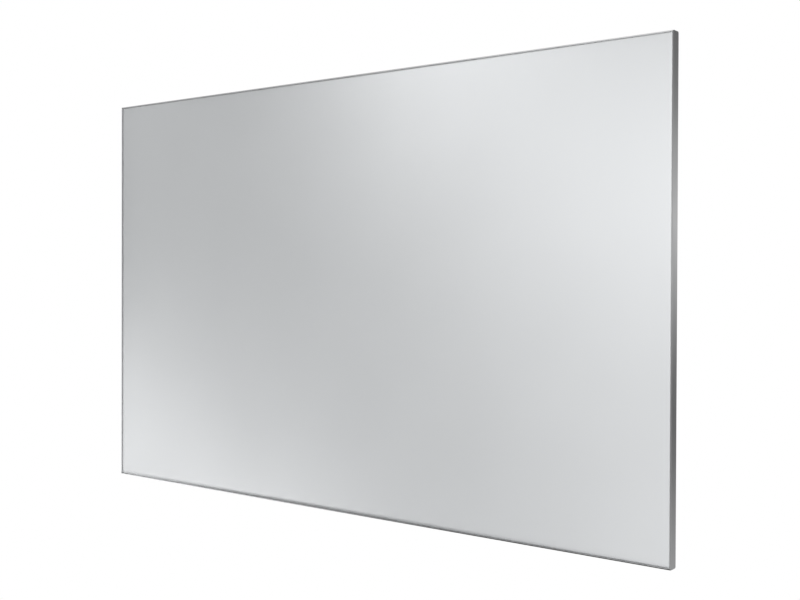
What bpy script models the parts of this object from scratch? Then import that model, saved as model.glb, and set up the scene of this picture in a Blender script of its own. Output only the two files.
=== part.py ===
# Fixed-frame projection screen: slim aluminium rails that hold a cloth in a groove along their front.
# Sizes are in metres. X runs along the width, Z is up, and the picture faces -Y.
# Across a rail, "inset" is counted from the frame's outer edge and "depth" from its front plane.

import math

import bmesh
import bpy
from mathutils import Vector

# Picture and frame
picture_width = 2.000
picture_height = 1.250
frame_depth = 0.032
fit_gap = 0.0003

# Cloth and the silicone strip sewn along its edge
cloth_recess = 0.0050
cloth_thickness = 0.0005
cloth_fold_radius = 0.0010
cloth_hem_depth = 0.0117
strip_thickness = 0.0026
strip_barb = 0.0007
strip_barb_count = 3
barb_rise = 0.25
barb_crest = 0.30
barb_fall = 0.20

# Rail section
rim_width = 0.0035
rim_slope_drop = 0.0015
rim_crest_width = 0.0008
rim_edge_radius = 0.0003
rail_wall = 0.0018
rail_fillet = 0.0005
full_round = 0.48
outer_wall = 0.0028
chamber_width = 0.0118
channel_width = 0.0148
channel_lip = 0.0040
channel_setback = 0.0026
rear_bevel_depth = 0.0060
rear_bevel_setback = 0.0016

# Corner keys in the closed chamber
key_leg = 0.075
key_window_length = 0.022
key_window_width = 0.0050
key_window_spacing = 0.031
key_window_count = 2

# Corner plates and joiner plates in the rear channel
plate_thickness = 0.0030
plate_side_gap = 0.0005
plate_corner_radius = 0.0010
plate_leg = 0.090
plate_screw_from_corner = 0.040
plate_screw_spacing = 0.040
joiner_plate_length = 0.160
joiner_screw_from_end = 0.020
joiner_bar_length = 0.140

# Centre brace and its brackets
brace_width = 0.030
brace_thickness = 0.012
brace_wall = 0.0015
bracket_thickness = 0.0020
bracket_width = 0.040
bracket_overlap = 0.046
bracket_corner_radius = 0.0020
brace_edge_radius = 0.0010
bracket_rail_screw_spacing = 0.024
bracket_first_brace_screw = 0.014
bracket_brace_screw_spacing = 0.018

# Wall brackets
wall_bracket_spacing = 1.200
wall_bracket_width = 0.060
wall_bracket_thickness = 0.0020
wall_bracket_reach = 0.038
wall_hook_rise = 0.0032
wall_hook_play = 0.0006
wall_slot_width = 0.0050
wall_slot_length = 0.014
wall_slot_spacing = 0.034
wall_slot_below_rail = 0.020

# Screws
set_screw_radius = 0.0025
set_screw_length = 0.0080
set_screw_tip_radius = 0.0015
set_screw_point = 0.0010
set_screw_chamfer = 0.0005
set_screw_key = 0.00125
bracket_screw_radius = 0.0020
bracket_screw_head = 0.0037
bracket_screw_length = 0.0080
bracket_screw_chamfer = 0.0006
bracket_screw_key = 0.00125
socket_depth = 0.0012
hole_gap = 0.0003
round_steps = 16
arc_steps = 5
smooth_angle = 35

# Places worked out from the sizes above
frame_width = picture_width + 2 * rim_width
frame_height = picture_height + 2 * rim_width
groove_width = cloth_thickness + strip_thickness + 3 * fit_gap
groove_floor = cloth_recess + cloth_hem_depth + fit_gap
support_outer = rim_width + groove_width
support_inner = support_outer + rail_wall
support_top = cloth_recess + cloth_thickness + fit_gap
floor_rear = groove_floor + rail_wall
chamber_outer = outer_wall
chamber_inner = chamber_outer + chamber_width
chamber_rear = frame_depth - rail_wall
channel_outer = chamber_inner + rail_wall
channel_inner = channel_outer + channel_width
rail_width = channel_inner + rail_wall
channel_middle = (channel_outer + channel_inner) / 2
lip_rear = frame_depth - channel_setback
lip_front = lip_rear - rail_wall
outer_lip_edge = channel_outer + channel_lip
inner_lip_edge = channel_inner - channel_lip
plate_rear = lip_front - fit_gap
plate_front = plate_rear - plate_thickness
bracket_front = lip_rear + fit_gap
bracket_rear = bracket_front + bracket_thickness
bracket_outer = outer_lip_edge + fit_gap

# Finishes: colour, roughness, metallic
finishes = {
    "satin_aluminium": ((0.48, 0.485, 0.49), 0.36, 1.0),
    "mill_aluminium": ((0.66, 0.67, 0.68), 0.45, 1.0),
    "zinc_steel": ((0.50, 0.51, 0.53), 0.40, 1.0),
    "black_steel": ((0.03, 0.03, 0.03), 0.50, 0.6),
    "projection_white": ((0.80, 0.81, 0.82), 0.75, 0.0),
    "clear_silicone": ((0.70, 0.70, 0.68), 0.55, 0.0),
}

sides = ("top", "bottom", "left", "right")
corners = {
    "top_left": (-1, 1),
    "top_right": (1, 1),
    "bottom_left": (-1, -1),
    "bottom_right": (1, -1),
}


def clear_scene():
    for item in list(bpy.data.objects):
        bpy.data.objects.remove(item, do_unlink=True)


def finish_material(name):
    if name in bpy.data.materials:
        return bpy.data.materials[name]
    colour, roughness, metallic = finishes[name]
    material = bpy.data.materials.new(name)
    material.use_nodes = True
    shader = material.node_tree.nodes["Principled BSDF"]
    shader.inputs["Base Color"].default_value = (*colour, 1.0)
    shader.inputs["Roughness"].default_value = roughness
    shader.inputs["Metallic"].default_value = metallic
    material.diffuse_color = (*colour, 1.0)
    return material


# Depth is counted from the front plane, and the frame's origin is half way through it
def depth_to_y(depth):
    return depth - frame_depth / 2


# A point on one side of the frame: "along" runs with +X on top and bottom and with +Z on the sides
def side_point(side, along, inset, depth):
    y = depth_to_y(depth)
    if side == "top":
        return Vector((along, y, frame_height / 2 - inset))
    if side == "bottom":
        return Vector((along, y, inset - frame_height / 2))
    if side == "left":
        return Vector((inset - frame_width / 2, y, along))
    return Vector((frame_width / 2 - inset, y, along))


# A point near a corner, counted inwards from the frame's two outer edges that meet there
def corner_point(corner, inset_x, inset_z, depth):
    sign_x, sign_z = corners[corner]
    x = sign_x * (frame_width / 2 - inset_x)
    z = sign_z * (frame_height / 2 - inset_z)
    return Vector((x, depth_to_y(depth), z))


# Half the outer length of the frame along a side
def half_length(side):
    if side in ("top", "bottom"):
        return frame_width / 2
    return frame_height / 2


# Replaces each corner (u, v, radius) by an arc, or keeps it where its radius is zero
def rounded(outline):
    points = []
    for index, (u, v, radius) in enumerate(outline):
        here = Vector((u, v))
        if radius == 0:
            points.append(here)
            continue
        before = Vector(outline[index - 1][:2]) - here
        after = Vector(outline[(index + 1) % len(outline)][:2]) - here
        points += corner_arc(here, before.normalized(), after.normalized(), radius)
    return points


def corner_arc(corner, before, after, radius):
    half_angle = before.angle(after) / 2
    centre = corner + (before + after).normalized() * (radius / math.sin(half_angle))
    reach = radius / math.tan(half_angle)
    first = corner + before * reach - centre
    last = corner + after * reach - centre
    turn = math.pi - 2 * half_angle
    points = []
    for step in range(arc_steps + 1):
        angle = turn * step / arc_steps
        share_first = math.sin(turn - angle) / math.sin(turn)
        share_last = math.sin(angle) / math.sin(turn)
        points.append(centre + first * share_first + last * share_last)
    return points


def circle(u, v, radius):
    turns = [2 * math.pi * step / round_steps for step in range(round_steps)]
    return [Vector((u + radius * math.cos(turn), v + radius * math.sin(turn))) for turn in turns]


# A slot with round ends, its length along u
def slot(u, v, length, width):
    straight = (length - width) / 2
    points = []
    for end in (1, -1):
        for step in range(round_steps // 2 + 1):
            angle = math.pi * step / (round_steps // 2) - math.pi / 2 * end
            offset = Vector((math.cos(angle), math.sin(angle))) * (width / 2)
            points.append(Vector((u + straight * end, v)) + offset)
    return points


def add_object(name, mesh_builder, finish):
    bmesh.ops.recalc_face_normals(mesh_builder, faces=mesh_builder.faces)
    if mesh_builder.calc_volume(signed=True) < 0:
        bmesh.ops.reverse_faces(mesh_builder, faces=mesh_builder.faces)
    mesh = bpy.data.meshes.new(name)
    mesh_builder.to_mesh(mesh)
    mesh_builder.free()
    mesh.shade_smooth()
    mesh.set_sharp_from_angle(angle=math.radians(smooth_angle))
    mesh.materials.append(finish_material(finish))
    item = bpy.data.objects.new(name, mesh)
    bpy.context.scene.collection.objects.link(item)
    return item


# A solid between two sets of matching loops: the first loop is the outline, the others are holes
def solid_between(name, finish, first_loops, last_loops):
    builder = bmesh.new()
    first_edges = []
    last_edges = []
    for first_points, last_points in zip(first_loops, last_loops):
        first = [builder.verts.new(point) for point in first_points]
        last = [builder.verts.new(point) for point in last_points]
        count = len(first)
        for index in range(count):
            follow = (index + 1) % count
            builder.faces.new((first[index], first[follow], last[follow], last[index]))
            first_edges.append(builder.edges.get((first[index], first[follow])))
            last_edges.append(builder.edges.get((last[index], last[follow])))
    bmesh.ops.triangle_fill(builder, use_beauty=True, edges=first_edges)
    bmesh.ops.triangle_fill(builder, use_beauty=True, edges=last_edges)
    return add_object(name, builder, finish)


# A solid made of rings with equal counts, closed by a flat face at each end
def solid_of_rings(name, finish, rings):
    builder = bmesh.new()
    loops = [[builder.verts.new(point) for point in ring] for ring in rings]
    count = len(loops[0])
    for near, far in zip(loops, loops[1:]):
        for index in range(count):
            follow = (index + 1) % count
            builder.faces.new((near[index], near[follow], far[follow], far[index]))
    builder.faces.new(loops[0])
    builder.faces.new(loops[-1])
    return add_object(name, builder, finish)


# The outline of the extrusion: rim that slopes back outwards, cloth groove, cloth support, rear channel, bevel
def rail_outline():
    bevel_front = frame_depth - rear_bevel_depth
    support_round = rail_wall * full_round
    return [
        (0.0, rim_slope_drop, rim_edge_radius),
        (rim_width - rim_crest_width, 0.0, 0.0),
        (rim_width, 0.0, rim_edge_radius),
        (rim_width, groove_floor, 0.0),
        (support_outer, groove_floor, 0.0),
        (support_outer, support_top, support_round),
        (support_inner, support_top, support_round),
        (support_inner, groove_floor, rail_fillet),
        (rail_width, groove_floor, rail_fillet),
        (rail_width, lip_rear, rail_fillet),
        (inner_lip_edge, lip_rear, 0.0),
        (inner_lip_edge, lip_front, 0.0),
        (channel_inner, lip_front, 0.0),
        (channel_inner, floor_rear, 0.0),
        (channel_outer, floor_rear, 0.0),
        (channel_outer, lip_front, 0.0),
        (outer_lip_edge, lip_front, 0.0),
        (outer_lip_edge, lip_rear, 0.0),
        (channel_outer, lip_rear, 0.0),
        (channel_outer, frame_depth, rail_fillet),
        (rear_bevel_setback, frame_depth, rail_fillet),
        (0.0, bevel_front, rail_fillet),
    ]


def chamber_outline():
    return [
        (chamber_outer, floor_rear, rail_fillet),
        (chamber_inner, floor_rear, rail_fillet),
        (chamber_inner, chamber_rear, rail_fillet),
        (chamber_outer, chamber_rear, rail_fillet),
    ]


# One length of extrusion; a mitred end follows the inset, a square end stays beside the middle joint
def add_rail(name, side, start_mitred, end_mitred):
    mitre_pull = fit_gap / math.sqrt(2)
    reach = half_length(side) - mitre_pull
    loops = [rounded(rail_outline()), rounded(chamber_outline())]
    starts = []
    ends = []
    for loop in loops:
        start_loop = []
        end_loop = []
        for inset, depth in loop:
            start = inset - reach if start_mitred else fit_gap / 2
            end = reach - inset if end_mitred else -fit_gap / 2
            start_loop.append(side_point(side, start, inset, depth))
            end_loop.append(side_point(side, end, inset, depth))
        starts.append(start_loop)
        ends.append(end_loop)
    return solid_between(name, "satin_aluminium", starts, ends)


def add_rails():
    add_rail("left_rail", "left", True, True)
    add_rail("right_rail", "right", True, True)
    for side in ("top", "bottom"):
        add_rail(side + "_rail_left", side, True, False)
        add_rail(side + "_rail_right", side, False, True)


# The cloth's own section, from its picture face round the fold, down the hem and back up inside
def cloth_section():
    hem_outer = rim_width + fit_gap
    hem_inner = hem_outer + cloth_thickness
    fold_centre = hem_outer + cloth_fold_radius
    fold_depth = cloth_recess + cloth_fold_radius
    hem_end = cloth_recess + cloth_hem_depth
    angles = [math.pi / 2 * step / arc_steps for step in range(arc_steps + 1)]
    outer = [fold_point(fold_centre, fold_depth, cloth_fold_radius, angle) for angle in angles]
    inner_radius = cloth_fold_radius - cloth_thickness
    inner = [fold_point(fold_centre, fold_depth, inner_radius, angle) for angle in reversed(angles)]
    return outer + [(hem_outer, hem_end), (hem_inner, hem_end)] + inner


def fold_point(centre, depth, radius, angle):
    return (centre - radius * math.sin(angle), depth - radius * math.cos(angle))


def add_cloth():
    rings = []
    for inset, depth in cloth_section():
        ring = [corner_point(corner, inset, inset, depth) for corner in
                ("top_left", "top_right", "bottom_right", "bottom_left")]
        rings.append(ring)
    solid_of_rings("projection_cloth", "projection_white", rings)


# The strip's section: a flat back against the hem and barbs towards the support wall
def strip_section():
    near = rim_width + 2 * fit_gap + cloth_thickness
    far = near + strip_thickness
    top = cloth_recess + cloth_fold_radius + fit_gap
    end = cloth_recess + cloth_hem_depth
    pitch = (end - top) / (strip_barb_count + 1)
    points = [(near, end), (near, top), (far - strip_barb, top)]
    for index in range(strip_barb_count):
        root = top + pitch * (index + 0.5)
        crest = root + pitch * barb_rise
        shoulder = crest + pitch * barb_crest
        foot = shoulder + pitch * barb_fall
        points += [(far - strip_barb, root), (far, crest), (far, shoulder), (far - strip_barb, foot)]
    points.append((far - strip_barb, end))
    return points


def add_edge_strips():
    near = rim_width + 2 * fit_gap + cloth_thickness
    for side in sides:
        end_inset = near
        if side in ("left", "right"):
            end_inset = near + strip_thickness + fit_gap
        reach = half_length(side) - end_inset
        start_loop = [side_point(side, -reach, inset, depth) for inset, depth in strip_section()]
        end_loop = [side_point(side, reach, inset, depth) for inset, depth in strip_section()]
        solid_between("edge_strip_" + side, "clear_silicone", [start_loop], [end_loop])


# An L in the plane of the frame, between two insets, with both legs of one length
def corner_outline(outer, inner, leg, radius):
    end = outer + leg
    return rounded([
        (outer, outer, radius),
        (end, outer, radius),
        (end, inner, radius),
        (inner, inner, radius),
        (inner, end, radius),
        (outer, end, radius),
    ])


# A hole in one leg of an L and its copy in the other leg
def both_legs(loop):
    return [loop, [Vector((v, u)) for u, v in loop]]


def add_corner_solid(name, finish, corner, loops, front, rear):
    front_loops = [[corner_point(corner, u, v, front) for u, v in loop] for loop in loops]
    rear_loops = [[corner_point(corner, u, v, rear) for u, v in loop] for loop in loops]
    return solid_between(name, finish, front_loops, rear_loops)


def add_corner_keys():
    outer = chamber_outer + fit_gap
    inner = chamber_inner - fit_gap
    middle = (outer + inner) / 2
    loops = [corner_outline(outer, inner, key_leg, plate_corner_radius)]
    front = floor_rear + fit_gap
    rear = chamber_rear - fit_gap
    for index in range(key_window_count):
        place = inner + key_window_spacing * (index + 0.5)
        loops += both_legs(slot(place, middle, key_window_length, key_window_width))
    for corner in corners:
        add_corner_solid("corner_key_" + corner, "mill_aluminium", corner, loops, front, rear)


def plate_screw_places():
    first = plate_screw_from_corner
    return (first, first + plate_screw_spacing)


def add_corner_plates():
    outer = channel_outer + plate_side_gap
    inner = channel_inner - plate_side_gap
    loops = [corner_outline(outer, inner, plate_leg, plate_corner_radius)]
    for place in plate_screw_places():
        hole = circle(channel_middle + place, channel_middle, set_screw_radius + hole_gap)
        loops += both_legs(hole)
    for corner in corners:
        add_corner_solid("corner_plate_" + corner, "zinc_steel", corner, loops, plate_front, plate_rear)
        add_corner_set_screws(corner)


def add_corner_set_screws(corner):
    number = 1
    for place in plate_screw_places():
        for inset_x, inset_z in ((place, 0.0), (0.0, place)):
            at = corner_point(corner, channel_middle + inset_x, channel_middle + inset_z, 0.0)
            add_set_screw(f"set_screw_{corner}_{number}", at)
            number += 1


# Radius of a six-sided key socket at an angle, for a given half width across its flats
def socket_radius(half_width, angle):
    sixth = math.pi / 3
    return half_width / math.cos((angle + sixth / 2) % sixth - sixth / 2)


# A screw on an axis along Y: each ring is (radius, depth, whether it is six-sided)
def add_screw(name, finish, at, profile):
    rings = []
    for radius, depth, six_sided in profile:
        ring = []
        for step in range(round_steps):
            angle = 2 * math.pi * step / round_steps
            reach = socket_radius(radius, angle) if six_sided else radius
            x = at.x + reach * math.cos(angle)
            z = at.z + reach * math.sin(angle)
            ring.append(Vector((x, depth_to_y(depth), z)))
        rings.append(ring)
    return solid_of_rings(name, finish, rings)


def add_set_screw(name, at):
    tip = floor_rear + fit_gap
    head = tip + set_screw_length
    add_screw(name, "black_steel", at, [
        (set_screw_tip_radius, tip, False),
        (set_screw_radius, tip + set_screw_point, False),
        (set_screw_radius, head - set_screw_chamfer, False),
        (set_screw_radius - set_screw_chamfer, head, False),
        (set_screw_key, head, True),
        (set_screw_key, head - socket_depth, True),
    ])


def add_bracket_screw(name, at):
    head = bracket_rear
    head_edge = head - fit_gap
    cone_end = head_edge - (bracket_screw_head - bracket_screw_radius)
    tip = head - bracket_screw_length
    add_screw(name, "zinc_steel", at, [
        (bracket_screw_radius - bracket_screw_chamfer, tip, False),
        (bracket_screw_radius, tip + bracket_screw_chamfer, False),
        (bracket_screw_radius, cone_end, False),
        (bracket_screw_head, head_edge, False),
        (bracket_screw_head, head, False),
        (bracket_screw_key, head, True),
        (bracket_screw_key, head - socket_depth, True),
    ])


# A flat piece lying across one side of the frame; each hole is a pair of loops, front and rear
def add_side_plate(name, finish, side, outline, holes, front, rear):
    front_loops = [outline] + [hole[0] for hole in holes]
    rear_loops = [outline] + [hole[1] for hole in holes]
    first = [[side_point(side, u, v, front) for u, v in loop] for loop in front_loops]
    last = [[side_point(side, u, v, rear) for u, v in loop] for loop in rear_loops]
    return solid_between(name, finish, first, last)


def straight_hole(along, inset, radius):
    loop = circle(along, inset, radius + hole_gap)
    return (loop, loop)


def countersunk_hole(along, inset):
    front = circle(along, inset, bracket_screw_radius + hole_gap)
    rear = circle(along, inset, bracket_screw_head + hole_gap)
    return (front, rear)


def rectangle(half_along, near, far, radius):
    return rounded([
        (-half_along, near, radius),
        (half_along, near, radius),
        (half_along, far, radius),
        (-half_along, far, radius),
    ])


def bracket_rail_screws():
    half = bracket_rail_screw_spacing / 2
    return [(-half, channel_middle), (half, channel_middle)]


def bracket_brace_screws():
    first = rail_width + bracket_first_brace_screw
    return [(0.0, first), (0.0, first + bracket_brace_screw_spacing)]


def add_joiner_plate(side):
    near = channel_outer + plate_side_gap
    far = channel_inner - plate_side_gap
    outline = rectangle(joiner_plate_length / 2, near, far, plate_corner_radius)
    holes = [straight_hole(u, v, bracket_screw_radius) for u, v in bracket_rail_screws()]
    screw_reach = joiner_plate_length / 2 - joiner_screw_from_end
    for hand, along in (("left", -screw_reach), ("right", screw_reach)):
        holes.append(straight_hole(along, channel_middle, set_screw_radius))
        at = side_point(side, along, channel_middle, 0.0)
        add_set_screw(f"set_screw_{side}_joint_{hand}", at)
    add_side_plate("joiner_plate_" + side, "zinc_steel", side, outline, holes, plate_front, plate_rear)


def add_joiner_bar(side):
    outer = chamber_outer + fit_gap
    inner = chamber_inner - fit_gap
    front = floor_rear + fit_gap
    rear = chamber_rear - fit_gap
    section = rounded([
        (outer, front, plate_corner_radius),
        (inner, front, plate_corner_radius),
        (inner, rear, plate_corner_radius),
        (outer, rear, plate_corner_radius),
    ])
    half = joiner_bar_length / 2
    start = [side_point(side, -half, inset, depth) for inset, depth in section]
    end = [side_point(side, half, inset, depth) for inset, depth in section]
    solid_between("joiner_bar_" + side, "mill_aluminium", [start], [end])


def add_brace_bracket(side):
    bracket_end = rail_width + bracket_overlap
    outline = rectangle(bracket_width / 2, bracket_outer, bracket_end, bracket_corner_radius)
    places = bracket_rail_screws() + bracket_brace_screws()
    holes = [countersunk_hole(u, v) for u, v in places]
    name = "brace_bracket_" + side
    add_side_plate(name, "zinc_steel", side, outline, holes, bracket_front, bracket_rear)
    for number, (along, inset) in enumerate(places, 1):
        add_bracket_screw(f"brace_screw_{side}_{number}", side_point(side, along, inset, 0.0))


# Takes a cutter's volume out of a piece
def cut(item, cutter):
    item.data.shade_flat()
    cutter.hide_render = True
    cutter.display_type = "WIRE"
    boolean = item.modifiers.new("Cut", "BOOLEAN")
    boolean.operation = "DIFFERENCE"
    boolean.solver = "EXACT"
    boolean.object = cutter


def add_centre_brace():
    reach = frame_height / 2 - rail_width - fit_gap
    rear = lip_rear
    front = rear - brace_thickness
    half = brace_width / 2
    outer = [(-half, front, brace_edge_radius), (half, front, brace_edge_radius),
             (half, rear, brace_edge_radius), (-half, rear, brace_edge_radius)]
    hollow = half - brace_wall
    inner = [(-hollow, front + brace_wall, 0.0), (hollow, front + brace_wall, 0.0),
             (hollow, rear - brace_wall, 0.0), (-hollow, rear - brace_wall, 0.0)]
    loops = [rounded(outer), rounded(inner)]
    bottom = [[Vector((x, depth_to_y(depth), -reach)) for x, depth in loop] for loop in loops]
    top = [[Vector((x, depth_to_y(depth), reach)) for x, depth in loop] for loop in loops]
    brace = solid_between("centre_brace", "mill_aluminium", bottom, top)
    for side in ("top", "bottom"):
        for number, (along, inset) in enumerate(bracket_brace_screws(), 1):
            hole = circle(along, inset, bracket_screw_radius + hole_gap)
            name = f"cutter_brace_{side}_{number}"
            front_hole = rear - brace_wall * 2
            cutter = add_side_plate(name, "mill_aluminium", side, hole, [], front_hole, frame_depth)
            cut(brace, cutter)


# The bent strip of a wall bracket: a plate on the wall, a tongue through the slot and a hook that rises
# behind one of the channel's lips, so that the rail drops over it
def wall_bracket_section(side):
    wall = frame_depth
    plate = wall - wall_bracket_thickness
    hook_rear = lip_front - wall_hook_play
    hook_front = hook_rear - wall_bracket_thickness
    end = rail_width + wall_bracket_reach
    if side == "top":
        seat = outer_lip_edge + fit_gap
        tip = seat - wall_hook_rise
        under = seat + wall_bracket_thickness
        return [
            (end, plate, 0.0), (end, wall, 0.0), (seat, wall, wall_bracket_thickness),
            (seat, hook_rear, 0.0), (tip, hook_rear, 0.0), (tip, hook_front, 0.0),
            (under, hook_front, wall_bracket_thickness), (under, plate, 0.0),
        ]
    seat = inner_lip_edge - fit_gap
    tip = seat + wall_hook_rise
    under = seat - wall_bracket_thickness
    return [
        (end, plate, 0.0), (end, wall, 0.0), (under, wall, wall_bracket_thickness),
        (under, hook_front, wall_bracket_thickness), (tip, hook_front, 0.0),
        (tip, hook_rear, 0.0), (seat, hook_rear, 0.0), (seat, plate, 0.0),
    ]


def add_wall_bracket(side, hand, along):
    section = rounded(wall_bracket_section(side))
    half = wall_bracket_width / 2
    start = [side_point(side, along - half, inset, depth) for inset, depth in section]
    end = [side_point(side, along + half, inset, depth) for inset, depth in section]
    name = f"wall_bracket_{side}_{hand}"
    bracket = solid_between(name, "zinc_steel", [start], [end])
    for step in (-1, 1):
        inset = rail_width + wall_slot_below_rail
        middle = along + step * wall_slot_spacing / 2
        upright = [Vector((v, u)) for u, v in slot(inset, middle, wall_slot_length, wall_slot_width)]
        front = frame_depth - 2 * wall_bracket_thickness
        rear = frame_depth + wall_bracket_thickness
        cutter = add_side_plate(f"cutter_{name}_{step}", "zinc_steel", side, upright, [], front, rear)
        cut(bracket, cutter)


def add_wall_brackets():
    for side in ("top", "bottom"):
        add_wall_bracket(side, "left", -wall_bracket_spacing / 2)
        add_wall_bracket(side, "right", wall_bracket_spacing / 2)


def main():
    clear_scene()
    add_rails()
    add_cloth()
    add_edge_strips()
    add_corner_keys()
    add_corner_plates()
    for side in ("top", "bottom"):
        add_joiner_plate(side)
        add_joiner_bar(side)
        add_brace_bracket(side)
    add_centre_brace()
    add_wall_brackets()


main()
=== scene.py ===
import math

import bmesh
import bpy
from mathutils import Euler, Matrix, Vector


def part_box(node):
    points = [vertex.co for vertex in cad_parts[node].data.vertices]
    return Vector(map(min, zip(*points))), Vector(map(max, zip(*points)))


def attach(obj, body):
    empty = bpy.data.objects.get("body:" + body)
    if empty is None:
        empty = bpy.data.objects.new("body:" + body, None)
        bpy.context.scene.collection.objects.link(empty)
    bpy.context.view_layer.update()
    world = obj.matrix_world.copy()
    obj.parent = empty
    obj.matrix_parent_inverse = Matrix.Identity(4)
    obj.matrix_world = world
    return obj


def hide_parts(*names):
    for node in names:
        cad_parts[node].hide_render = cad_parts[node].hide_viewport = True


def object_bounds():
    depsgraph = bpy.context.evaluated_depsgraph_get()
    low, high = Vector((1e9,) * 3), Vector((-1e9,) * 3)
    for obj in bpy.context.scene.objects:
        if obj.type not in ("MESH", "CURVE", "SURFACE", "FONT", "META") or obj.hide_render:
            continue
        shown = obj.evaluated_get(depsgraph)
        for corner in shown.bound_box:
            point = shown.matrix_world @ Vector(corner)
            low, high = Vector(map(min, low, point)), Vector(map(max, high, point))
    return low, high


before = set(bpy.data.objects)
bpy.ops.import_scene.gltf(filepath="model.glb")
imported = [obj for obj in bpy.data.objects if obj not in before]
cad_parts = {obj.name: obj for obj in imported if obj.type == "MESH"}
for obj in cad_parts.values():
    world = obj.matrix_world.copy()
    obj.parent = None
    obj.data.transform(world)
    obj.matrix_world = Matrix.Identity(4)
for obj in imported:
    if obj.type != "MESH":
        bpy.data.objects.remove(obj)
cadLow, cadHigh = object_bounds()
print("frame loaded:", len(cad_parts), "nodes")

quarterTurn = math.pi / 2
facingFront = (quarterTurn, 0, 0)  # turns the top of a new piece to the front
front = Vector((0, -1, 0))
back = Vector((0, 1, 0))
nearlyAlong = 0.9  # the least cosine between a face's normal and the way it is said to face


def deselectAll():
    if bpy.context.mode != "OBJECT":
        bpy.ops.object.mode_set(mode="OBJECT")
    bpy.ops.object.select_all(action="DESELECT")


def selectOnly(piece):
    deselectAll()
    piece.select_set(True)
    bpy.context.view_layer.objects.active = piece


def startEdit(piece, domain="FACE"):
    selectOnly(piece)
    bpy.ops.object.mode_set(mode="EDIT")
    bpy.ops.mesh.select_mode(type=domain)
    bpy.ops.mesh.select_all(action="DESELECT")


def selectFacing(piece, direction):
    # picks the faces in edit mode that look along a direction
    mesh = bmesh.from_edit_mesh(piece.data)
    for face in mesh.faces:
        face.select_set(face.normal.dot(direction) > nearlyAlong)
    bmesh.update_edit_mesh(piece.data)


def extrudeBack(distance):
    bpy.ops.mesh.extrude_region_move(TRANSFORM_OT_translate={"value": (0, distance, 0)})


def widen(across, up, centre):
    # scales what is selected about a centre, and keeps its depth
    bpy.ops.transform.resize(value=(across, 1, up), center_override=(centre.x, 0, centre.z))


def endEdit():
    bpy.ops.object.mode_set(mode="OBJECT")


def applyModifiers(piece):
    selectOnly(piece)
    for modifier in list(piece.modifiers):
        bpy.ops.object.modifier_apply(modifier=modifier.name)


def settle(piece):
    # puts the place into the mesh, so that the object sits at the origin
    selectOnly(piece)
    bpy.ops.object.transform_apply(location=True, rotation=True, scale=True)


def smooth(piece, degrees):
    selectOnly(piece)
    bpy.ops.object.shade_smooth_by_angle(angle=math.radians(degrees))


# materials

def feed(tree, node, inputs):
    # each input takes a value, or a wire from another node's output
    for socket, given in inputs.items():
        if isinstance(given, bpy.types.NodeSocket):
            tree.links.new(given, node.inputs[socket])
        else:
            node.inputs[socket].default_value = given


def addNode(tree, kind, inputs):
    node = tree.nodes.new("ShaderNode" + kind)
    feed(tree, node, inputs)
    return node


def newMaterial(name):
    material = bpy.data.materials.new(name)
    material.use_nodes = True
    tree = material.node_tree
    return material, tree, tree.nodes["Principled BSDF"]


def ownPlace(tree):
    # where a point lies on its own object
    return addNode(tree, "TexCoord", {}).outputs["Object"]


def objectNoise(tree, scale, detail=3.0):
    # noise over the piece's own coordinates; scale is per metre along x, y and z
    mapping = addNode(tree, "Mapping", {"Vector": ownPlace(tree), "Scale": scale})
    noise = addNode(tree, "TexNoise", {
        "Vector": mapping.outputs["Vector"], "Scale": 1.0, "Detail": detail,
    })
    return noise.outputs["Fac"]


def ramp(tree, source, colours, start=0.3, end=0.7):
    # turns a 0 to 1 value into a colour between two ends
    node = addNode(tree, "ValToRGB", {"Fac": source})
    for step, position, colour in zip(node.color_ramp.elements, (start, end), colours):
        step.position = position
        step.color = (*colour, 1)
    return node.outputs["Color"]


def spread(tree, source, ends):
    # turns a 0 to 1 value into one between two ends
    low, high = ends
    node = addNode(tree, "MapRange", {"Value": source, "To Min": low, "To Max": high})
    return node.outputs["Result"]


def bump(tree, height, relief):
    # relief is the bump's strength and its depth in metres
    strength, depth = relief
    node = addNode(tree, "Bump", {"Height": height, "Strength": strength, "Distance": depth})
    return node.outputs["Normal"]


satin = {
    "colours": ((0.64, 0.645, 0.65), (0.68, 0.685, 0.69)),
    "roughness": (0.30, 0.38), "metallic": 1.0, "relief": (0.10, 0.00002), "grainDetail": 4.0,
    "alongX": {"grain": (1.5, 900, 900), "cloud": (9, 40, 9)},
    "alongZ": {"grain": (900, 900, 1.5), "cloud": (40, 40, 9)},
}


def satinAluminium(name, run):
    # anodised extrusion: faint lines that run along the rail
    material, tree, shader = newMaterial(name)
    lines = objectNoise(tree, satin[run]["grain"], satin["grainDetail"])
    cloud = objectNoise(tree, satin[run]["cloud"])
    feed(tree, shader, {
        "Base Color": ramp(tree, cloud, satin["colours"]),
        "Roughness": spread(tree, lines, satin["roughness"]),
        "Metallic": satin["metallic"],
        "Normal": bump(tree, lines, satin["relief"]),
    })
    return material


mill = {
    "colours": ((0.52, 0.53, 0.54), (0.62, 0.63, 0.64)),
    "roughness": (0.34, 0.52), "metallic": 1.0, "relief": (0.2, 0.00004),
    "grain": (600, 600, 3), "grainDetail": 5.0,
}


def millAluminium():
    # plain drawn bar: lines that run up and down
    material, tree, shader = newMaterial("millAluminium")
    lines = objectNoise(tree, mill["grain"], mill["grainDetail"])
    feed(tree, shader, {
        "Base Color": ramp(tree, lines, mill["colours"]),
        "Roughness": spread(tree, lines, mill["roughness"]),
        "Metallic": mill["metallic"],
        "Normal": bump(tree, lines, mill["relief"]),
    })
    return material


zinc = {
    "colours": ((0.46, 0.48, 0.50), (0.62, 0.62, 0.60)),
    "roughness": (0.28, 0.46), "metallic": 1.0, "relief": (0.15, 0.00005),
    "spangle": 260, "cloud": (45, 45, 45),
}


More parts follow.
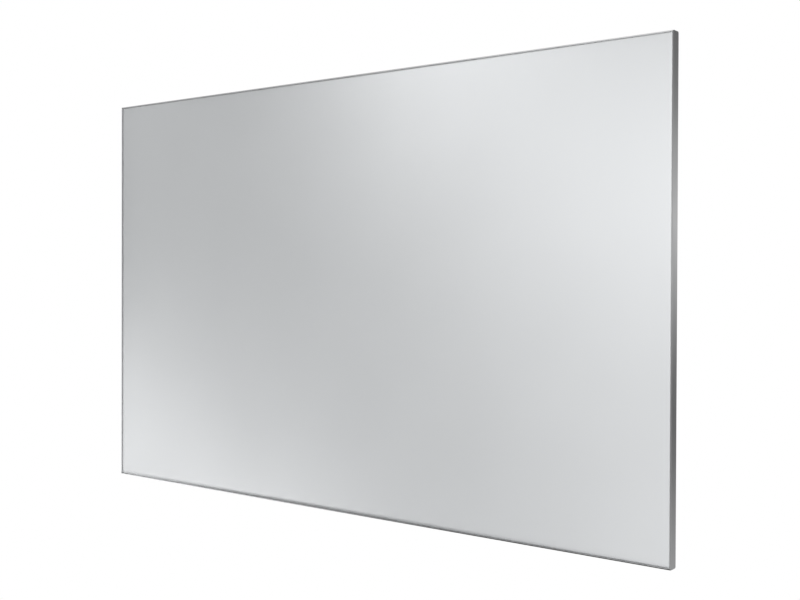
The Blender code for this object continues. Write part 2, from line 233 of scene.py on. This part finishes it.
def zincSteel():
    # plated sheet: a soft spangle and a cloudy tint
    material, tree, shader = newMaterial("zincSteel")
    cloud = objectNoise(tree, zinc["cloud"])
    cells = addNode(tree, "TexVoronoi", {"Vector": ownPlace(tree), "Scale": zinc["spangle"]})
    feed(tree, shader, {
        "Base Color": ramp(tree, cloud, zinc["colours"]),
        "Roughness": spread(tree, cells.outputs["Color"], zinc["roughness"]),
        "Metallic": zinc["metallic"],
        "Normal": bump(tree, cloud, zinc["relief"]),
    })
    return material


oxide = {
    "colours": ((0.022, 0.022, 0.024), (0.05, 0.05, 0.052)),
    "roughness": (0.34, 0.52), "metallic": 0.7, "relief": (0.2, 0.00003),
    "grit": (2500, 2500, 2500), "gritDetail": 2.0,
}


def blackOxide():
    # blackened screw steel with a fine grit
    material, tree, shader = newMaterial("blackOxide")
    grit = objectNoise(tree, oxide["grit"], oxide["gritDetail"])
    feed(tree, shader, {
        "Base Color": ramp(tree, grit, oxide["colours"]),
        "Roughness": spread(tree, grit, oxide["roughness"]),
        "Metallic": oxide["metallic"],
        "Normal": bump(tree, grit, oxide["relief"]),
    })
    return material


silicone = {
    "colours": ((0.66, 0.66, 0.64), (0.74, 0.74, 0.72)),
    "roughness": 0.5, "translucence": 0.2, "relief": (0.2, 0.0001), "cloud": (300, 300, 300),
}


def clearSilicone():
    # milky soft strip
    material, tree, shader = newMaterial("clearSilicone")
    cloud = objectNoise(tree, silicone["cloud"])
    feed(tree, shader, {
        "Base Color": ramp(tree, cloud, silicone["colours"]),
        "Roughness": silicone["roughness"],
        "Subsurface Weight": silicone["translucence"],
        "Normal": bump(tree, cloud, silicone["relief"]),
    })
    return material


film = {
    "colours": ((0.79, 0.80, 0.81), (0.81, 0.82, 0.83)),
    "roughness": (0.62, 0.72), "specular": 0.35, "relief": (0.35, 0.00006),
    "emboss": (1400, 1400, 1400), "embossDetail": 2.0, "cloud": (3.0, 3.0, 3.0), "cloudDetail": 1.0,
}


def projectionWhite():
    # matt vinyl face with a very fine emboss
    material, tree, shader = newMaterial("projectionWhite")
    emboss = objectNoise(tree, film["emboss"], film["embossDetail"])
    cloud = objectNoise(tree, film["cloud"], film["cloudDetail"])
    feed(tree, shader, {
        "Base Color": ramp(tree, cloud, film["colours"]),
        "Roughness": spread(tree, emboss, film["roughness"]),
        "Specular IOR Level": film["specular"],
        "Normal": bump(tree, emboss, film["relief"]),
    })
    return material


backing = {
    "colours": ((0.018, 0.018, 0.020), (0.035, 0.035, 0.038)),
    "roughness": 0.85, "relief": (0.5, 0.0002), "threads": 143.3121,
}


def blackBacking():
    # the cloth's rear: woven polyester, dyed black so that no light comes through
    material, tree, shader = newMaterial("blackBacking")
    place = ownPlace(tree)
    threads = []
    for direction in ("X", "Z"):
        wave = addNode(tree, "TexWave", {"Vector": place, "Scale": backing["threads"]})
        wave.bands_direction = direction
        threads.append(wave.outputs["Fac"])
    crossing = addNode(tree, "Math", {0: threads[0], 1: threads[1]})
    crossing.operation = "MULTIPLY"
    weave = crossing.outputs["Value"]
    feed(tree, shader, {
        "Base Color": ramp(tree, weave, backing["colours"], 0.0, 1.0),
        "Roughness": backing["roughness"],
        "Normal": bump(tree, weave, backing["relief"]),
    })
    return material


finishes = {
    "railAlongX": satinAluminium("satinAluminiumAlongX", "alongX"),
    "railAlongZ": satinAluminium("satinAluminiumAlongZ", "alongZ"),
    "mill": millAluminium(),
    "zinc": zincSteel(),
    "oxide": blackOxide(),
    "silicone": clearSilicone(),
    "white": projectionWhite(),
    "backing": blackBacking(),
}


def dress(piece, *names):
    piece.data.materials.clear()
    for name in names:
        piece.data.materials.append(finishes[name])


for node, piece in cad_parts.items():
    if node in ("left_rail", "right_rail"):
        dress(piece, "railAlongZ")
    elif "_rail_" in node:
        dress(piece, "railAlongX")
    elif node.startswith(("centre_brace", "corner_key", "joiner_bar")):
        dress(piece, "mill")
    elif node.startswith("edge_strip"):
        dress(piece, "silicone")
    elif node.startswith("set_screw"):
        dress(piece, "oxide")
    elif node != "projection_cloth":
        dress(piece, "zinc")
print("finishes on the frame's own pieces")


# the cloth, stretched over the support wall and folded down into the groove

cloth = {
    "thickness": 0.0005, "foldRadius": 0.0006, "foldSteps": 4, "squaresAcross": 80, "squaresUp": 50,
    "sink": 0.00012, "sameLevel": 0.000001, "smoothAngle": 30,
}


def makeCloth():
    low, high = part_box("projection_cloth")
    centre = (low + high) / 2
    radius = cloth["foldRadius"]
    width = high.x - low.x - 2 * radius
    height = high.z - low.z - 2 * radius
    deselectAll()
    bpy.ops.mesh.primitive_grid_add(
        x_subdivisions=cloth["squaresAcross"], y_subdivisions=cloth["squaresUp"], size=1,
        location=(centre.x, low.y, centre.z), rotation=facingFront)
    sheet = bpy.context.object
    sheet.name = "projectionCloth"
    sheet.scale = (width, height, 1)
    settle(sheet)
    startEdit(sheet, "EDGE")
    bpy.ops.mesh.select_all(action="SELECT")
    bpy.ops.mesh.region_to_loop()
    depth, inset = 0.0, radius
    for step in range(1, cloth["foldSteps"] + 1):
        angle = quarterTurn * step / cloth["foldSteps"]
        newInset = radius * (1 - math.sin(angle))
        newDepth = radius * (1 - math.cos(angle))
        newWidth = width + 2 * (inset - newInset)
        newHeight = height + 2 * (inset - newInset)
        extrudeBack(newDepth - depth)
        widen(newWidth / width, newHeight / height, centre)
        depth, inset, width, height = newDepth, newInset, newWidth, newHeight
    extrudeBack(high.y - low.y - radius)
    endEdit()
    return sheet, low, high


def tautenCloth(sheet, low, high):
    # a stretched film sinks a hair between its edges
    for vertex in sheet.data.vertices:
        if vertex.co.y > low.y + cloth["sameLevel"]:
            continue
        acrossShare = math.cos(math.pi * vertex.co.x / (high.x - low.x))
        upShare = math.cos(math.pi * vertex.co.z / (high.z - low.z))
        vertex.co.y += cloth["sink"] * max(acrossShare, 0) * max(upShare, 0)


def thickenCloth(sheet):
    # the white face stays in front, and the backing covers the rear and the cut edge
    dress(sheet, "white", "backing")
    solid = sheet.modifiers.new("thickness", "SOLIDIFY")
    solid.thickness = cloth["thickness"]
    solid.offset = -1
    solid.use_even_offset = True
    solid.material_offset = 1
    solid.material_offset_rim = 1
    applyModifiers(sheet)
    smooth(sheet, cloth["smoothAngle"])


sheet, clothLow, clothHigh = makeCloth()
tautenCloth(sheet, clothLow, clothHigh)
thickenCloth(sheet)
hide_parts("projection_cloth")
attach(sheet, "root")


# screws, each turned finely in place of its plain solid

screw = {
    "sides": 32, "shankRadius": 0.0020, "headEdge": 0.0003,
    "tipRadius": 0.0015, "tipHeight": 0.0010,
    "socketSides": 6, "socketAcross": 0.0025, "socketDepth": 0.0014,
    "edge": 0.00012, "edgeSteps": 2, "edgeAngle": 40,
}


def addCylinder(sides, radius, length, place):
    # a round bar along the screw's way in, from front to back
    deselectAll()
    bpy.ops.mesh.primitive_cylinder_add(
        vertices=sides, radius=radius, depth=length, location=place, rotation=facingFront)
    return bpy.context.object


def cutSocket(piece, centre, end):
    # a six-sided key socket sunk into the rear end
    tool = addCylinder(screw["socketSides"], screw["socketAcross"] / math.sqrt(3),
                       2 * screw["socketDepth"], (centre.x, end, centre.z))
    cutter = piece.modifiers.new("socket", "BOOLEAN")
    cutter.operation = "DIFFERENCE"
    cutter.solver = "EXACT"
    cutter.object = tool
    applyModifiers(piece)
    bpy.data.objects.remove(tool, do_unlink=True)


def softenEdges(piece):
    bevel = piece.modifiers.new("edges", "BEVEL")
    bevel.width = screw["edge"]
    bevel.segments = screw["edgeSteps"]
    bevel.limit_method = "ANGLE"
    bevel.angle_limit = math.radians(screw["edgeAngle"])
    applyModifiers(piece)
    smooth(piece, screw["edgeAngle"])


def makeSetScrew(node):
    # a headless screw with a blunt cone at its front end
    low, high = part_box(node)
    centre = (low + high) / 2
    radius = (high.x - low.x) / 2
    tipHeight = screw["tipHeight"]
    piece = addCylinder(screw["sides"], radius, high.y - low.y - tipHeight,
                        centre + Vector((0, tipHeight / 2, 0)))
    settle(piece)
    startEdit(piece)
    selectFacing(piece, front)
    bpy.ops.mesh.inset(thickness=radius - screw["tipRadius"])
    bpy.ops.transform.translate(value=(0, -tipHeight, 0))
    endEdit()
    cutSocket(piece, centre, high.y)
    softenEdges(piece)
    return piece, centre


def makeBraceScrew(node):
    # a countersunk screw with its head at the rear
    low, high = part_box(node)
    centre = (low + high) / 2
    headRadius = (high.x - low.x) / 2
    shankRadius = screw["shankRadius"]
    coneHeight = headRadius - shankRadius
    shankEnd = high.y - screw["headEdge"] - coneHeight
    piece = addCylinder(screw["sides"], shankRadius, shankEnd - low.y,
                        (centre.x, (low.y + shankEnd) / 2, centre.z))
    settle(piece)
    startEdit(piece)
    selectFacing(piece, back)
    extrudeBack(coneHeight)
    widen(headRadius / shankRadius, headRadius / shankRadius, centre)
    extrudeBack(screw["headEdge"])
    endEdit()
    cutSocket(piece, centre, high.y)
    softenEdges(piece)
    return piece, centre


def placeScrews(prefix, make, finish):
    # the first is copied before it says what it stands for, because a copy would say it too
    nodes = sorted(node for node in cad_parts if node.startswith(prefix))
    pattern, patternCentre = make(nodes[0])
    dress(pattern, finish)
    pieces = [pattern]
    for node in nodes[1:]:
        low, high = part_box(node)
        piece = pattern.copy()
        piece.data = pattern.data.copy()
        bpy.context.scene.collection.objects.link(piece)
        piece.location = (low + high) / 2 - patternCentre
        settle(piece)
        pieces.append(piece)
    for piece, node in zip(pieces, nodes):
        piece.name = node + "_turned"
        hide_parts(node)
        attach(piece, "root")


placeScrews("set_screw", makeSetScrew, "oxide")
placeScrews("brace_screw", makeBraceScrew, "zinc")
print("screws made")


# studio: a pale floor under the hanging frame, a white surround, graded cards and soft lamps

studio = {
    "floorDrop": 1.15, "floorRadius": 2.70, "floorFade": 1.00, "floorSides": 64,
    "floorColour": (0.86, 0.86, 0.86), "floorRoughness": 0.9, "floorSpecular": 0.1,
    "floorGlow": 0.60,
    "mirrored": 0.7, "fillLevel": 0.13, "fillTint": (0.95, 1.0, 1.015), "background": 1.0,
}


def rayKinds(tree, kinds):
    # 1 for rays of the named kinds, otherwise 0
    path = addNode(tree, "LightPath", {})
    found = path.outputs[kinds[0]]
    for kind in kinds[1:]:
        either = addNode(tree, "Math", {0: found, 1: path.outputs[kind]})
        either.operation = "MAXIMUM"
        found = either.outputs["Value"]
    return found


def paleFloor():
    # plain pale paint that shades off to the white surround, and keeps the frame's shadow
    material, tree, shader = newMaterial("paleFloor")
    feed(tree, shader, {
        "Base Color": (*studio["floorColour"], 1),
        "Roughness": studio["floorRoughness"],
        "Specular IOR Level": studio["floorSpecular"],
    })
    paint = shader.outputs["BSDF"]
    glow = addNode(tree, "Emission", {"Strength": studio["floorGlow"]})
    lifted = addNode(tree, "AddShader", {0: paint, 1: glow.outputs["Emission"]})
    white = addNode(tree, "Emission", {"Strength": studio["background"]})
    level = addNode(tree, "VectorMath", {0: ownPlace(tree), 1: (1, 1, 0)})
    level.operation = "MULTIPLY"
    distance = addNode(tree, "VectorMath", {0: level.outputs["Vector"]})
    distance.operation = "LENGTH"
    fade = addNode(tree, "MapRange", {
        "Value": distance.outputs["Value"],
        "From Min": studio["floorRadius"] - studio["floorFade"], "From Max": studio["floorRadius"],
    })
    fade.interpolation_type = "SMOOTHSTEP"
    seen = addNode(tree, "MixShader", {
        "Fac": fade.outputs["Result"], 1: lifted.outputs["Shader"], 2: white.outputs["Emission"],
    })
    choose = addNode(tree, "MixShader", {
        "Fac": rayKinds(tree, ["Is Camera Ray"]), 1: paint, 2: seen.outputs["Shader"],
    })
    feed(tree, tree.nodes["Material Output"], {"Surface": choose.outputs["Shader"]})
    return material


def makeFloor():
    deselectAll()
    bpy.ops.mesh.primitive_circle_add(
        vertices=studio["floorSides"], radius=studio["floorRadius"], fill_type="NGON",
        location=(0, 0, cadLow.z - studio["floorDrop"]))
    floor = bpy.context.object
    floor.name = "studioFloor"
    floor.data.materials.append(paleFloor())


# Graded cards that only the metal sees. A grade is a place along the card and its brightness.
# A card reaches as far on both sides of its place as its last grade.
leftGrades = (
    (-1.6, 1.30), (-0.70, 1.25), (-0.49, 1.15), (-0.27, 1.0), (-0.05, 0.80), (0.16, 0.60),
    (0.38, 0.50), (0.60, 0.42), (1.6, 0.42),
)
cards = {
    "sideCard": {
        "stance": "upright", "place": (1.485, 1.095, 0), "aim": (1.0, 0, 0), "width": 1.15,
        "grades": ((-1.6, 0.50), (-0.95, 0.44), (-0.70, 0.26), (-0.45, 0.10), (-0.22, 0.17),
                   (0.0, 0.42), (0.23, 0.72), (0.46, 0.47), (0.66, 0.22), (0.85, 0.12),
                   (1.6, 0.14)),
    },
    "rearCard": {
        "stance": "upright", "place": (0.72, 1.40, 0), "aim": (1.0, 0, 0), "width": 0.62,
        "grades": ((-1.6, 0.05), (-0.25, 0.05), (0.25, 0.42), (1.6, 0.42)),
    },
    "rightRimCard": {
        "stance": "upright", "place": (1.51, -0.76, 0), "aim": (1.0, 0, 0), "width": 0.75,
        "grades": ((-1.6, 0.44), (-0.85, 0.40), (-0.64, 0.25), (-0.42, 0.10), (-0.20, 0.18),
                   (0.0, 0.46), (0.21, 0.70), (0.45, 0.44), (0.62, 0.20), (0.80, 0.12),
                   (1.6, 0.12)),
    },
    "leftRimCard": {
        "stance": "upright", "place": (-1.94, 0.34, 0), "aim": (-1.0, 0, 0), "width": 0.5,
        "grades": leftGrades,
    },
    "leftCrestCard": {
        "stance": "upright", "place": (-1.94, -0.74, 0), "aim": (-1.0, 0, 0), "width": 0.5,
        "grades": leftGrades,
    },
    "topRimCard": {
        "stance": "flat", "place": (-0.55, -0.22, 1.3), "width": 0.7,
        "grades": ((-2.05, 0.55), (-1.25, 0.55), (0.0, 0.58), (0.25, 0.72), (0.65, 0.85),
                   (1.0, 0.95), (1.2, 1.0), (2.05, 1.0)),
    },
    "bottomRimCard": {
        "stance": "flat", "place": (-0.55, -0.22, -1.3), "width": 1.5,
        "grades": ((-2.05, 1.5), (-0.80, 1.4), (-0.38, 0.80), (0.12, 0.30), (0.45, 0.10),
                   (0.65, 0.0), (2.05, 0.0)),
    },
    "lowFrontCard": {
        "stance": "sideways", "place": (-0.55, -1.20, -1.10), "aim": (-0.55, 0, 0), "width": 0.95,
        "grades": ((-2.05, 1.4), (-1.38, 1.3), (-0.90, 0.80), (-0.50, 0.35), (-0.10, 0.08),
                   (0.20, 0.0), (2.05, 0.0)),
    },
}


def gradedPaint(name, grades, reach, axis):
    # light whose brightness follows the grades along one axis of the card
    material, tree, shader = newMaterial(name)
    tree.nodes.remove(shader)
    parts = addNode(tree, "SeparateXYZ", {"Vector": ownPlace(tree)})
    share = addNode(tree, "MapRange", {
        "Value": parts.outputs[axis], "From Min": -reach, "From Max": reach,
    })
    levels = addNode(tree, "ValToRGB", {"Fac": share.outputs["Result"]})
    steps = levels.color_ramp.elements
    stepsAtFirst = len(steps)
    for number, (place, level) in enumerate(grades):
        position = (place + reach) / (2 * reach)
        step = steps[number] if number < stepsAtFirst else steps.new(position)
        step.position = position
        step.color = (level, level, level, 1)
    glow = addNode(tree, "Emission", {"Color": levels.outputs["Color"]})
    feed(tree, tree.nodes["Material Output"], {"Surface": glow.outputs["Emission"]})
    return material


def makeCard(name, facts):
    # an upright card is graded up its height, and the others along their length
    grades, width = facts["grades"], facts["width"]
    reach = grades[-1][0]
    axis = "Y" if facts["stance"] == "upright" else "X"
    deselectAll()
    bpy.ops.mesh.primitive_plane_add(size=1, location=facts["place"])
    card = bpy.context.object
    card.name = name
    card.scale = (width, 2 * reach, 1) if axis == "Y" else (2 * reach, width, 1)
    bpy.ops.object.transform_apply(location=False, rotation=False, scale=True)
    if facts["stance"] != "flat":
        away = Vector(facts["place"]) - Vector(facts["aim"])
        card.rotation_euler = Euler((quarterTurn, 0, math.atan2(away.y, away.x) - quarterTurn))
    card.data.materials.append(gradedPaint(name + "Paint", grades, reach, axis))
    card.visible_camera = False
    card.visible_diffuse = False
    card.visible_shadow = False
    card.visible_transmission = False


def plainLight(tree, strength, colour=(1, 1, 1)):
    light = addNode(tree, "Background", {"Color": (*colour, 1), "Strength": strength})
    return light.outputs["Background"]


def makeWorld():
    # white to the camera, a paler grey in reflections, and a weak fill for all other light
    world = bpy.data.worlds.new("paleStudio")
    bpy.context.scene.world = world
    world.use_nodes = True
    tree = world.node_tree
    tree.nodes.clear()
    found = plainLight(tree, studio["fillLevel"], studio["fillTint"])
    for kinds, strength in (
            (["Is Glossy Ray"], studio["mirrored"]),
            (["Is Camera Ray", "Is Transmission Ray"], studio["background"])):
        mix = addNode(tree, "MixShader", {
            "Fac": rayKinds(tree, kinds), 1: found, 2: plainLight(tree, strength),
        })
        found = mix.outputs["Shader"]
    addNode(tree, "OutputWorld", {"Surface": found})


lamps = {
    "lowLamp": {"place": (-0.452, -0.600, -1.459), "size": 0.5, "watts": 8.81},
    "leftLamp": {"place": (-1.177, -0.600, -0.503), "size": 0.5, "watts": 2.59},
    "topLamp": {"place": (0.337, -0.622, 0.882), "size": 0.5, "watts": 2.91},
    "lowRightLamp": {"place": (1.259, -0.689, -0.838), "size": 0.5, "watts": 3.37},
    "rightLamp": {"place": (1.260, -0.854, 0.359), "size": 0.5, "watts": 6.47},
    "topLeftLamp": {"place": (-1.052, -0.657, 0.751), "size": 0.5, "watts": 1.68},
    "rearLamp": {"place": (-1.20, 2.60, 2.60), "size": 1.8, "watts": 26},
}
aimShare = 0.3  # a lamp looks at the point this far out from the middle of the picture


def makeLamp(name, facts):
    data = bpy.data.lights.new(name, "AREA")
    data.shape = "SQUARE"
    data.size = facts["size"]
    data.energy = facts["watts"]
    lamp = bpy.data.objects.new(name, data)
    bpy.context.scene.collection.objects.link(lamp)
    lamp.location = facts["place"]
    aim = Vector((lamp.location.x * aimShare, 0, lamp.location.z * aimShare))
    lamp.rotation_euler = (aim - lamp.location).to_track_quat("-Z", "Y").to_euler()
    lamp.visible_camera = False
    lamp.visible_glossy = False


photoView = {
    "place": (2.0696, -2.4319, 0.0557), "turn": 37.658, "pitch": -0.542, "roll": 0.2035,
    "pixelsAcross": 800, "focalPixels": 1104.32, "shiftPixels": -13.72,
    "sensor": 36.0, "near": 0.01,
}


def makeCamera(view):
    # angles in degrees; the focal length and the shift in pixels of the photograph
    data = bpy.data.cameras.new("photoCamera")
    data.sensor_width = view["sensor"]
    data.lens = view["focalPixels"] / view["pixelsAcross"] * view["sensor"]
    data.shift_y = view["shiftPixels"] / view["pixelsAcross"]
    data.clip_start = view["near"]
    camera = bpy.data.objects.new("photoCamera", data)
    bpy.context.scene.collection.objects.link(camera)
    camera.location = view["place"]
    turn = Euler((quarterTurn + math.radians(view["pitch"]), 0, math.radians(view["turn"])))
    roll = Euler((0, 0, math.radians(view["roll"])))
    camera.rotation_euler = (turn.to_matrix() @ roll.to_matrix()).to_euler()
    bpy.context.scene.camera = camera


makeFloor()
makeWorld()
for name, facts in cards.items():
    makeCard(name, facts)
for name, facts in lamps.items():
    makeLamp(name, facts)
makeCamera(photoView)
bpy.context.scene.view_settings.view_transform = "Standard"
print("studio and camera made")
